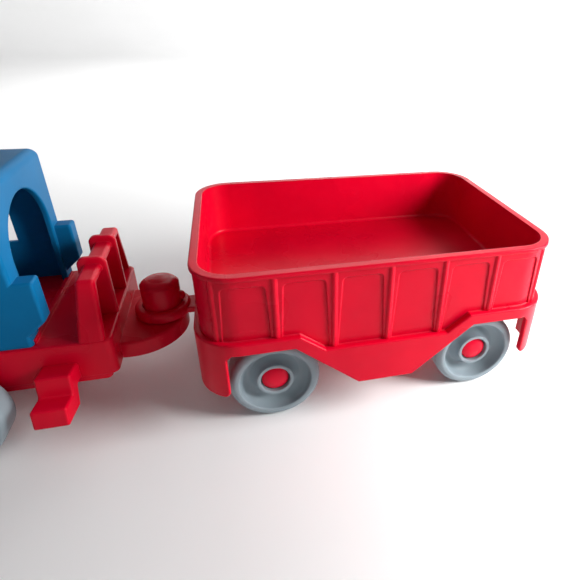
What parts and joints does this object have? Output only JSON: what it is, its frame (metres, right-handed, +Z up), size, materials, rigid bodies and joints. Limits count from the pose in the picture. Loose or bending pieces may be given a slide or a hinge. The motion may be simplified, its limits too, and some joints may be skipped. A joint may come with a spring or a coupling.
{
  "type": "toy tractor with wagon",
  "caption": "Moulded plastic toy pulling engine with open cab, rear deck and hitch post, drawing an open ribbed gondola wagon on dished wheels.",
  "frame": {"origin": "on the ground, in the middle of the coupled pair's length and width", "axes": "+Z up; +X towards the wagon's rear, the engine heads towards -X; -Y is the near side, +Y the far side"},
  "size_m": [0.441, 0.1432, 0.137],
  "materials": {
    "red_plastic": "glossy moulded plastic, pinkish sheen",
    "blue_plastic": "satin moulded plastic",
    "wheel_plastic": "satin grey moulded plastic",
    "cap_plastic": "glossy red moulded plastic",
    "axle_steel": "bright drawn wire",
    "screw_steel": "zinc plated",
    "lamp_plastic": "glossy cream moulded plastic",
    "trim_plastic": "satin grey moulded plastic"
  },
  "bodies": {
    "engine": {"engine_chassis": "red_plastic", "engine_base_plate": "red_plastic", "engine_base_screws": "screw_steel", "hitch_post": "red_plastic", "rear_bunker": "red_plastic", "boarding_steps_near": "red_plastic", "boarding_steps_far": "red_plastic", "engine_cab": "blue_plastic", "engine_hood": "blue_plastic", "radiator_grille": "trim_plastic", "headlights": "lamp_plastic", "exhaust_stack": "trim_plastic", "front_bumper": "red_plastic", "driver_seat": "red_plastic", "engine_axle_rear": "axle_steel", "engine_axle_front": "axle_steel", "engine_axle_caps": "cap_plastic"},
    "wagon": {"wagon_tub": "red_plastic", "wagon_underframe": "red_plastic", "wagon_drawbar": "red_plastic", "drawbar_screws": "screw_steel", "wagon_floor_screws": "screw_steel", "wagon_axle_front": "axle_steel", "wagon_axle_rear": "axle_steel", "wagon_axle_caps": "cap_plastic"},
    "wagon_wheel_front_near": {"wagon_wheel_front_near": "wheel_plastic"},
    "wagon_wheel_front_far": {"wagon_wheel_front_far": "wheel_plastic"},
    "wagon_wheel_rear_near": {"wagon_wheel_rear_near": "wheel_plastic"},
    "wagon_wheel_rear_far": {"wagon_wheel_rear_far": "wheel_plastic"},
    "engine_wheel_front_near": {"engine_wheel_front_near": "wheel_plastic"},
    "engine_wheel_front_far": {"engine_wheel_front_far": "wheel_plastic"},
    "engine_wheel_rear_near": {"engine_wheel_rear_near": "wheel_plastic"},
    "engine_wheel_rear_far": {"engine_wheel_rear_far": "wheel_plastic"}
  },
  "joints": [
    {"name": "hitch_yaw", "type": "hinge", "parent": "engine", "child": "wagon", "pos_m": [-0.0053, 0, 0.0455], "axis": [0, 0, 1], "range_deg": [-45, 45]},
    {"name": "wagon_front_near_wheel_spin", "type": "hinge", "parent": "wagon", "child": "wagon_wheel_front_near", "pos_m": [0.0568, -0.0537, 0.0255], "axis": [0, 1, 0], "continuous": true},
    {"name": "wagon_front_far_wheel_spin", "type": "hinge", "parent": "wagon", "child": "wagon_wheel_front_far", "pos_m": [0.0568, 0.0537, 0.0255], "axis": [0, 1, 0], "continuous": true},
    {"name": "wagon_rear_near_wheel_spin", "type": "hinge", "parent": "wagon", "child": "wagon_wheel_rear_near", "pos_m": [0.1802, -0.0537, 0.0255], "axis": [0, 1, 0], "continuous": true},
    {"name": "wagon_rear_far_wheel_spin", "type": "hinge", "parent": "wagon", "child": "wagon_wheel_rear_far", "pos_m": [0.1802, 0.0537, 0.0255], "axis": [0, 1, 0], "continuous": true},
    {"name": "engine_front_near_wheel_spin", "type": "hinge", "parent": "engine", "child": "engine_wheel_front_near", "pos_m": [-0.178, -0.0537, 0.0255], "axis": [0, 1, 0], "continuous": true},
    {"name": "engine_front_far_wheel_spin", "type": "hinge", "parent": "engine", "child": "engine_wheel_front_far", "pos_m": [-0.178, 0.0537, 0.0255], "axis": [0, 1, 0], "continuous": true},
    {"name": "engine_rear_near_wheel_spin", "type": "hinge", "parent": "engine", "child": "engine_wheel_rear_near", "pos_m": [-0.1035, -0.0537, 0.0255], "axis": [0, 1, 0], "continuous": true},
    {"name": "engine_rear_far_wheel_spin", "type": "hinge", "parent": "engine", "child": "engine_wheel_rear_far", "pos_m": [-0.1035, 0.0537, 0.0255], "axis": [0, 1, 0], "continuous": true}
  ]
}
